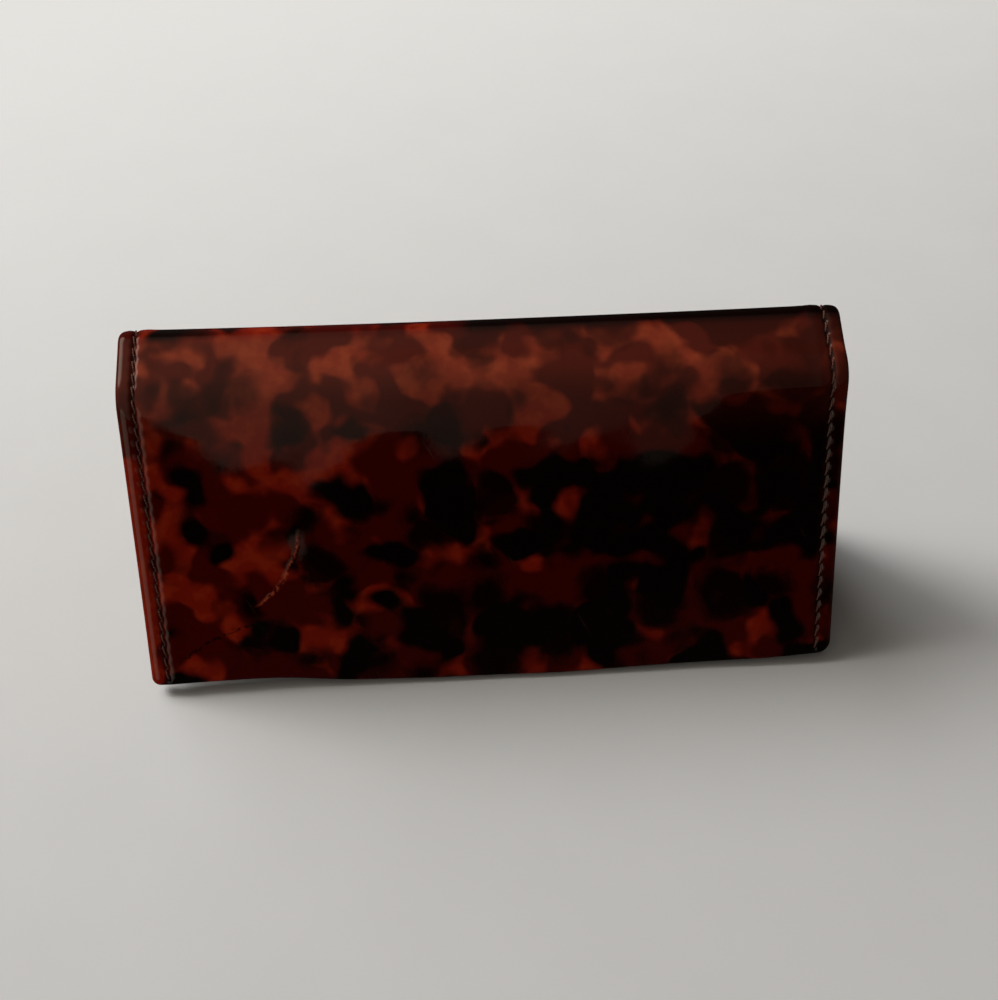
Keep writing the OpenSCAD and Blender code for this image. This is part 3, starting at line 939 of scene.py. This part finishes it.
# %% Material for the soft inside
def nap_recipe(where):
    leaning = vector("MULTIPLY", where, (1.0, 0.35, 1.0))
    patch = blotches(leaning, 0.012, 0.38, 0.64, 3.0, 0.6)
    tooth = noise(leaning, 0.00045, 2.0, 0.7)
    return (calc("MULTIPLY_ADD", patch, 0.6, times(tooth, 0.4)),
            calc("MULTIPLY_ADD", tooth, 60.0, times(patch, 12.0)))


def suede_recipe(strip):
    nap = place_group(NAP, strip)
    colour = mix_colours(nap["Stroke"], (0.030, 0.017, 0.012), (0.085, 0.050, 0.036))
    return {"Base Color": colour, "Height": nap["Height"]}


NAP = new_group("Nap", ["Stroke", "Height"], nap_recipe)
SUEDE = new_material("brown_microsuede", suede_recipe, {
    "Roughness": 0.92, "Specular IOR Level": 0.25, "Sheen Weight": 0.35, "Sheen Roughness": 0.45,
    "Sheen Tint": (0.62, 0.48, 0.38, 1)})
print("suede nodes:", len(SUEDE.node_tree.nodes))

# %% [markdown]
# The lining's inner face lies a little proud of the turned skin, because it is glued over
# it. At a fold it climbs towards the skin within two millimetres, which hides the end of the
# board there.

# %% Linings
LINING_T = 0.6 * MM
LINING_RIM = 5.15 * MM
ON_BOARD, IN_FOLD, DIP, EARLY = WALL_T + 0.22 * MM, 1.55 * MM, 2.3 * MM, 0.2 * MM
ROLL_IN = np.array([0.0, 0.08, 0.3, 0.7]) * MM
ROLL_DOWN = np.array([0.55, 0.25, 0.06, 0.0]) * MM


def lining_depth(s):
    """Depth of the lining's inner face along the strip."""
    dips = [ease(s, low - EARLY, low + DIP) * (1 - ease(s, high - DIP, high + EARLY))
            for low, high in ((BACK_END, TOP_START), (TOP_END, FLAP_START))]
    return ON_BOARD - (ON_BOARD - IN_FOLD) * np.maximum(*dips)


def lining_sheet(name, s_rows, half_w, form, hem=None):
    """A lining sheet; its side edges, and its end at hem, are rolled under."""
    x, s = np.meshgrid(columns(half_w, ROLL_IN, 1.6 * MM, 97), s_rows)
    under = np.interp(half_w - np.abs(x), ROLL_IN, ROLL_DOWN)
    if hem is not None:
        under = np.maximum(under, np.interp(np.abs(hem - s), ROLL_IN, ROLL_DOWN))
    pillow = 0.10 * MM * np.sin(x / MM / 9 + s / MM / 7) * np.sin(s / MM / 12 + 0.5)
    pillow = pillow * ease(half_w - np.abs(x), 0, 6 * MM)
    points = placed(x, s, lining_depth(s) - under + pillow, form)
    sheet = new_piece(name, points, grid_faces(*x.shape), stack(x, s), wall=LINING_T, flip=True)
    return finish_piece(sheet, SUEDE)


body_suede = lining_sheet("body_suede", np.arange(1.5 * MM, RIDGE_CUT + 0.01 * MM, MM),
                          HALF_W - RIM_W, body_form)
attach(body_suede, "case_body")
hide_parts("body_lining")
ridge_suede = lining_sheet("ridge_suede", np.linspace(RIDGE_CUT - 0.9 * MM, TOP_CUT, 44),
                           HALF_W - LINING_RIM, ridge_form)
at_bend(BACK_END)
at_bend(TOP_START)
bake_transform(ridge_suede)
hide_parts("ridge_fold_lining", "top_lining")
hem = FLAP_END - LINING_RIM
flap_lining_rows = np.concatenate([np.arange(TOP_CUT, FLAP_START + 2 * MM, 0.45 * MM),
                                   np.arange(FLAP_START + 2 * MM, hem - 1.2 * MM, MM),
                                   hem - ROLL_IN[::-1]])
flap_suede = lining_sheet("flap_suede", flap_lining_rows, HALF_W - LINING_RIM, flap_form, hem)
at_bend(TOP_END)
at_bend(FLAP_START)
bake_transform(flap_suede)
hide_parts("top_lining", "crease_fold_lining", "flap_lining")
print("lining vertices:", len(body_suede.data.vertices), len(flap_suede.data.vertices))

# %% [markdown]
# Grey board, foam, steel sheet and nickel each get a finish of their own. The boards of the
# body, that of the top panel and the keeper plates are stiff, and their solids are right as
# they are: they only get their finish.

# %% Finishes for boards, foam and metal
def board_recipe(place):
    """Grey board: matted fibres and darker flecks of old print."""
    fibre = noise(place, 0.0012, 4.0, 0.7)
    fleck = blotches(place, 0.0007, 0.66, 0.72, 1.0)
    colour = mix_colours(fibre, (0.30, 0.27, 0.21), (0.46, 0.42, 0.34))
    colour = mix_colours(times(fleck, 0.6), colour, (0.13, 0.12, 0.12))
    return {"Base Color": colour, "Height": fibre}


def foam_recipe(place):
    """Open-cell foam: small pits between pale walls, with painted shade in the pits."""
    cells = add("ShaderNodeTexVoronoi", {"Vector": place, "Scale": 1 / 0.0006}, feature="F1")
    pit_and_shade = smooth_step(cells.outputs["Distance"], 0.1, 0.5)
    colour = mix_colours(pit_and_shade, (0.10, 0.10, 0.11), (0.24, 0.24, 0.25))
    return {"Base Color": colour, "Height": pit_and_shade}


def steel_recipe(place):
    """Punched steel sheet with rolling lines and a few dull stains."""
    rolled = noise(vector("MULTIPLY", place, (0.05, 1.0, 1.0)), 0.0004, 2.0)
    colour = mix_colours(noise(place, 0.004, 3.0), (0.42, 0.41, 0.40), (0.60, 0.60, 0.61))
    return {"Base Color": colour, "Height": rolled}


def magnet_recipe(place):
    """Nickel plate: bright, with a faint orange peel and rubbed spots."""
    rubbed = blotches(place, 0.003, 0.55, 0.7)
    colour = mix_colours(rubbed, (0.66, 0.64, 0.60), (0.48, 0.46, 0.43))
    return {"Base Color": colour, "Height": noise(place, 0.0008, 2.0)}


def solid_material(name, recipe, relief, roughness, metallic=0.0):
    gloss = {"Roughness": roughness, "Metallic": metallic}
    return new_material(name, recipe, gloss, ("Object",), relief)


BOARD = solid_material("grey_board", board_recipe, 60e-6, 0.95)
FOAM = solid_material("open_cell_foam", foam_recipe, 90e-6, 1.0)
STEEL = solid_material("keeper_sheet_steel", steel_recipe, 3e-6, 0.38, 1.0)
NICKEL = solid_material("magnet_nickel", magnet_recipe, 4e-6, 0.22, 1.0)
FINISHES = {f"{name}_board": BOARD for name in ("front", "base", "back", "top")}
FINISHES |= {"gusset_board_left": BOARD, "gusset_board_right": BOARD, "keeper_plates": STEEL}
for node_name, material in FINISHES.items():
    give(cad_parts[node_name].data, material)
print("finished solids:", sorted(FINISHES))

# %% [markdown]
# The flap's board and its foam are bent with the flap, so they are laid out again with the
# same form. The magnets sit in the bent board, so each is a disc with a small bevel that is
# shifted with the form.

# %% Bent layers and magnets of the flap
INSIDE_RIM = RIM_W + 0.2 * MM
MAGNET_X, MAGNET_POINTS = 45 * MM, 48
MAGNET_DEPTH = 2.15 * MM
MAGNET_SECTION = ((0.02, 1.76), (3.0, 1.76), (5.7, 1.76), (5.95, 1.90), (5.95, 2.50), (5.7, 2.64),
                  (3.0, 2.64), (0.02, 2.64))


def bent_slab(name, outer, inner):
    """A layer of the flap between two depths, as a closed slab that follows the form."""
    x, s = np.meshgrid(np.linspace(INSIDE_RIM - HALF_W, HALF_W - INSIDE_RIM, 80),
                       np.linspace(FLAP_START + 0.3 * MM, FLAP_END - INSIDE_RIM, 46))
    return new_piece(name, placed(x, s, outer, flap_form), grid_faces(*x.shape), stack(x, s),
                     wall=inner - outer)


def magnet_discs():
    lowest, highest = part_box("flap_magnets")
    s_all = np.linspace(FLAP_START, FLAP_END, 400)
    height = side_view(s_all, MAGNET_DEPTH)[:, 1]
    s_mid = float(np.interp(-(lowest.z + highest.z) / 2, -height, s_all))
    turn = np.linspace(0, 2 * math.pi, MAGNET_POINTS, endpoint=False)
    points, flats, faces = [], [], []
    for middle in (-MAGNET_X, MAGNET_X):
        faces += ring_faces(len(MAGNET_SECTION), MAGNET_POINTS, len(points) * MAGNET_POINTS)
        for radius, depth in MAGNET_SECTION:
            x = middle + radius * MM * np.cos(turn)
            s = s_mid + radius * MM * np.sin(turn)
            points.append(placed(x, s, depth * MM, flap_form))
            flats.append(stack(x, s))
    return new_piece("flap_magnet_discs", np.array(points), faces, np.array(flats))


flap_foam = finish_piece(bent_slab("flap_foam_pad", 0.84 * MM, 1.38 * MM), FOAM)
flap_board = finish_piece(bent_slab("flap_stiff_board", 1.42 * MM, 2.7 * MM), BOARD)
flap_magnet_discs = finish_piece(magnet_discs(), NICKEL)
for piece, node_name in ((flap_foam, "flap_foam"), (flap_board, "flap_board"),
                         (flap_magnet_discs, "flap_magnets")):
    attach(piece, "flap_front")
    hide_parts(node_name)
print("magnet disc vertices:", len(flap_magnet_discs.data.vertices))

# %% [markdown]
# The upper edge of the front wall is bound with a strip of the same skin, folded over the
# edge and down both sides. It is swept along X from one rounded section, and its ends are
# drawn in a little, as a folded end is.

# %% Front lip
LIP_NOSE_R, LIP_NOSE_MID = 1.92, 1.6
LIP_ENDS = np.array([0.0, 0.15, 0.45, 0.9]) * MM
LIP_SHRINK = np.array([0.72, 0.86, 0.96, 1.0])
# The lip's place along the flat map, and a distance that keeps the edge wear off its ends.
LIP_MAP, LIP_UNWORN = -0.045, 0.012


def lip_section():
    nose = [(-LIP_NOSE_R * math.sin(a), LIP_NOSE_MID - LIP_NOSE_R * math.cos(a))
            for a in np.linspace(0, math.pi, 13)]
    return np.array([(5.0, 0.15), (5.05, -0.10), (4.9, -0.26), (4.5, -0.32), (2.2, -0.32), *nose,
                     (2.2, 3.54), (4.5, 3.60), (4.9, 3.54), (5.05, 3.38), (5.0, 3.1)]) * MM


def front_lip_piece():
    section = lip_section()
    x, along = np.meshgrid(columns(HALF_W, LIP_ENDS, 2 * MM, 110), section[:, 0], indexing="ij")
    shrink = np.interp(HALF_W - np.abs(x), LIP_ENDS, LIP_SHRINK)
    depth = WALL_T / 2 + (section[:, 1] - WALL_T / 2) * shrink
    points = with_x(x, side_view(along + 0.05 * MM * np.sin(x / MM / 8), depth))
    run = length_along(section)
    return new_piece("front_lip_binding", points, ring_faces(*x.shape), stack(x, run + LIP_MAP),
                     stack(HALF_W - np.abs(x) + LIP_UNWORN, run))


front_lip = finish_piece(front_lip_piece(), SKIN_GUSSET)
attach(front_lip, "case_body")
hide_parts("front_lip")
print("lip vertices:", len(front_lip.data.vertices))

# %% [markdown]
# Each end of the case is closed by a gusset, set in from the edge of the strip like the
# bottom of a tray. Its skin is turned out at the rim and sewn to the strip, and along the
# open side, under the flap, it is turned over the board's edge instead. So a set of rings
# runs round the outline: the first ones go from rim to panel, for the skin by one section
# where it is sewn and by another where it is free, and the rest close in on the middle.

# %% Gussets
GUSSET_X = HALF_W - 4.5 * MM
GUSSET_STEP = 0.9 * MM
GUSSET_MAP = 0.21, 0.37  # places on the flat map that nothing else uses
LIP_TOP = WALL_T / 2 + FLAP_GAP
SEWN = np.array([(4.5, 0.10), (4.62, 0.22), (4.62, 0.55), (4.45, 0.78), (3.0, 0.80), (1.9, 0.80),
                 (1.2, 0.86), (0.55, 1.12), (0.14, 1.6), (0.0, 2.4)]) * MM
FREE = np.array([(-2.80, 3.2), (-2.84, 1.4), (-2.78, 0.3), (-2.5, -0.18), (-2.0, -0.38),
                 (-1.2, -0.42), (-0.5, -0.34), (-0.1, -0.02), (0.04, 0.6), (0.0, 2.4)]) * MM
CLOSING = ((0.975, 8), (0.94, 16), (0.88, 30), (0.80, 50), (0.70, 80), (0.58, 120), (0.45, 160),
           (0.32, 200), (0.19, 240), (0.08, 280))
LINING_RINGS = np.array([(-2.1, 0.0), (-2.55, 0.05), (-2.75, 0.25), (-2.86, 0.7), (-2.9, 1.5)]) * MM


def gusset_outline():
    """Points round the gusset in Y and Z, outward directions, and 1 where it is sewn."""
    joined = np.arange(-LIP_TOP, BACK_END - 2.0 * MM, GUSSET_STEP)
    over = np.arange(TOP_START, FLAP_END - 47.8 * MM, GUSSET_STEP)
    loop = np.concatenate([side_view(joined, WALL_T), side_view(over, WALL_T + FLAP_GAP)])
    points, sewn = [], []
    for k, (a, b) in enumerate(zip(loop, np.roll(loop, -1, axis=0))):
        steps = max(1, int(round(math.dist(a, b) / GUSSET_STEP)))
        at = joined[k] if k < len(joined) - 1 else -1.0
        held = ease(at, 0.3 * MM, 2.5 * MM) * (1 - ease(at, BACK_END - 5.5 * MM, BACK_END - 3 * MM))
        points += [a + (b - a) * step / steps for step in range(steps)]
        sewn += [held] * steps
    points = np.array(points)
    along = np.roll(points, -1, axis=0) - np.roll(points, 1, axis=0)
    along /= np.linalg.norm(along, axis=1)[:, None]
    return points, stack(along[:, 1], -along[:, 0]), np.array(sewn)


def relaxed(ring, passes):
    """Evens out a closed ring, so that tight corners don't fold over when it shrinks."""
    for _ in range(passes):
        ring = 0.5 * ring + 0.25 * (np.roll(ring, 1, axis=0) + np.roll(ring, -1, axis=0))
    return ring


OUTLINE, OUT_DIR, IS_SEWN = gusset_outline()
MIDDLE = OUTLINE.mean(axis=0)


def gusset_plump(ring):
    """0 at the four long sides of the gusset, 1 well inside it."""
    corners, headings = panel_corners()
    plump = 1.0
    for corner, heading in zip(corners[1:], headings):
        away = -(ring - corner) @ outward(heading) - WALL_T
        plump = plump * (1 - np.exp(-np.clip(away, 0, None) / (5 * MM)))
    return plump


def gusset_piece(name, side, section, puff, material, wall, flip):
    """Rings of (x, y, z) from rim to middle; section gives the first rings' x and inset."""
    rings = []
    for x, inset in section:
        ring = relaxed(OUTLINE - OUT_DIR * inset[:, None], int(max(0, inset.max() / MM - 1) * 6))
        rings.append(with_x(x, ring))
    last = rings[-1]
    for share, passes in CLOSING:
        ring = MIDDLE + (relaxed(last[:, 1:], passes) - MIDDLE) * share
        wave = 0.15 * np.sin(ring[:, 0] / MM / 6 + 0.4) * np.sin(ring[:, 1] / MM / 9)
        rise = puff * gusset_plump(ring) * (1 + wave) * ease(1 - share, 0, 0.08)
        rings.append(with_x(last[:, 0] + rise, ring))
    points = np.array(rings) * [side, 1, 1]
    strip = points[..., 1:] + [side * GUSSET_MAP[0], GUSSET_MAP[1]]
    faces = ring_faces(*points.shape[:2], hollow=True, way=-1)
    piece = new_piece(name, points, faces, strip, wall=wall, flip=(side < 0) != flip)
    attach(piece, "case_body")
    return finish_piece(piece, material)


def skin_section():
    for sewn, free in zip(SEWN, FREE):
        at = sewn * IS_SEWN[:, None] + free * (1 - IS_SEWN[:, None])
        yield GUSSET_X + at[:, 0], at[:, 1]


def lining_section():
    inset = 0.35 * MM * IS_SEWN + 2.6 * MM * (1 - IS_SEWN)
    for x, more in LINING_RINGS:
        yield np.full(len(OUTLINE), GUSSET_X + x), inset + more


for side, label in ((-1, "left"), (1, "right")):
    skin = gusset_piece(f"gusset_cover_{label}", side, skin_section(), 0.45 * MM, SKIN_GUSSET,
                        0.55 * MM, False)
    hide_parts(f"gusset_skin_{label}")
    suede = gusset_piece(f"gusset_suede_{label}", side, lining_section(), -0.25 * MM, SUEDE,
                         0.5 * MM, True)
    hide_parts(f"gusset_lining_{label}")
print("points round a gusset:", len(OUTLINE))

# %% [markdown]
# The thread is a two-ply twist. Each visible stitch rises out of one needle hole, leans a
# little as it runs along the channel, and dives into the next. Every stitch is two small
# tubes wound round each other, laid out on the flat map and placed like the skin, so that it
# sits in its channel on flats and folds alike. The lockstitch shows on the inside as well.

# %% Stitches
PLY_R, TWIST_R = 0.140 * MM, 0.110 * MM
STITCH_LEN, STITCH_LEAN = 2.75 * MM, 0.55 * MM
STITCH_RINGS, STITCH_AROUND, PLY_TURNS = 15, 7, 2.1
STITCH_RISE, STITCH_SINK = 0.62, 0.72
LINE_X, INNER_LINE_X = HALF_W - STITCH_EDGE, HALF_W - 3.2 * MM
BODY_SEWN, INSIDE_SEWN, GUSSET_FLANGE = 2.5 * MM, (3 * MM, BACK_END - 7 * MM), 0.8 * MM
FLAP_SEWN = FLAP_START + 1.4 * MM


def thread_recipe(strip):
    fibre = noise(vector("MULTIPLY", strip, (1.0, 7.0, 1.0)), 0.0009, 3.0, 0.7)
    soil = blotches(strip, 0.006, 0.5, 0.7)
    colour = mix_colours(fibre, (0.060, 0.014, 0.009), (0.20, 0.078, 0.055))
    colour = mix_colours(times(soil, 0.5), colour, (0.035, 0.008, 0.006))
    return {"Base Color": colour, "Height": fibre}


def stitch_shape():
    """Local (along, across, height) of one stitch, its faces and its flat coordinates."""
    t = np.linspace(0, 1, STITCH_RINGS)[:, None]
    arch = np.sin(math.pi * t) ** 0.55
    angle = np.linspace(0, 2 * math.pi, STITCH_AROUND, endpoint=False)
    points, flats, faces = [], [], []
    for ply in range(2):
        turn = 2 * math.pi * PLY_TURNS * t + math.pi * ply
        along = (t - 0.5) * STITCH_LEN
        across = TWIST_R * np.cos(turn) + PLY_R * np.cos(angle) - (t - 0.5) * STITCH_LEAN
        height = ((arch * STITCH_RISE - STITCH_SINK) * MM + TWIST_R * np.sin(turn)
                  + PLY_R * np.sin(angle))
        points.append(stack(along, across, height).reshape(-1, 3))
        flats.append(stack(along + 0.004 * ply, angle * PLY_R).reshape(-1, 2))
        faces += ring_faces(STITCH_RINGS, STITCH_AROUND, ply * STITCH_RINGS * STITCH_AROUND, way=-1)
    return np.concatenate(points), faces, np.concatenate(flats)


STITCH, STITCH_FACES, STITCH_FLATS = stitch_shape()
THREAD = new_material("twisted_thread", thread_recipe, {"Roughness": 0.45}, relief=2e-5)


def stitch_row(name, lines, form):
    """Lines are (x, stations, depth of the face, 1 outside or -1 inside)."""
    points, flats, faces = [], [], []
    for line_x, at_s, face_depth, way in lines:
        mirrored = (line_x > 0) != (way < 0)
        for s0 in at_s:
            drift = 0.06 * MM * math.sin(s0 / MM * 1.7)
            x = line_x + drift + STITCH[:, 1] * (1 if line_x > 0 else -1)
            depth = face_depth - way * STITCH[:, 2]
            first = len(points) * len(STITCH)
            points.append(above_floor(placed(x, s0 + STITCH[:, 0], depth, form)))
            flats.append(STITCH_FLATS + [s0, line_x])
            faces += [[first + v for v in (f[::-1] if mirrored else f)] for f in STITCH_FACES]
    row = new_piece(name, np.concatenate(points), faces, np.concatenate(flats), sharp=None)
    return finish_piece(row, THREAD)


def between(low, high):
    return stations[(stations >= low) & (stations < high)]


def both_faces(side, at_s):
    return [(side * LINE_X, at_s, face, way) for face, way in ((0.0, 1), (WALL_T, -1))]


RIDGE_ROWS = between(RIDGE_CUT - MM, TOP_CUT)
CREASE_ROWS, FLAP_ROWS = between(TOP_CUT, FLAP_SEWN), between(FLAP_SEWN, FLAP_END)
for side, label in ((-1, "left"), (1, "right")):
    outer = side * LINE_X, between(BODY_SEWN, RIDGE_CUT - MM), 0.0, 1
    inner = side * INNER_LINE_X, between(*INSIDE_SEWN), WALL_T + GUSSET_FLANGE, -1
    row = stitch_row(f"body_thread_{label}", [outer, inner], body_form)
    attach(row, "case_body")
    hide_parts(f"body_stitches_{label}")
    row = stitch_row(f"flap_thread_{label}", both_faces(side, FLAP_ROWS), flap_form)
    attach(row, "flap_front")
    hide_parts(f"flap_stitches_{label}")
row = stitch_row("ridge_thread", both_faces(-1, RIDGE_ROWS) + both_faces(1, RIDGE_ROWS), ridge_form)
at_bend(BACK_END)
at_bend(TOP_START)
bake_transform(row)
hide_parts("ridge_fold_stitches", "top_stitches")
row = stitch_row("crease_thread", both_faces(-1, CREASE_ROWS) + both_faces(1, CREASE_ROWS), flap_form)
at_bend(TOP_END)
at_bend(FLAP_START)
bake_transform(row)
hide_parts("crease_fold_stitches", "top_stitches")
print("points in one stitch:", len(STITCH))
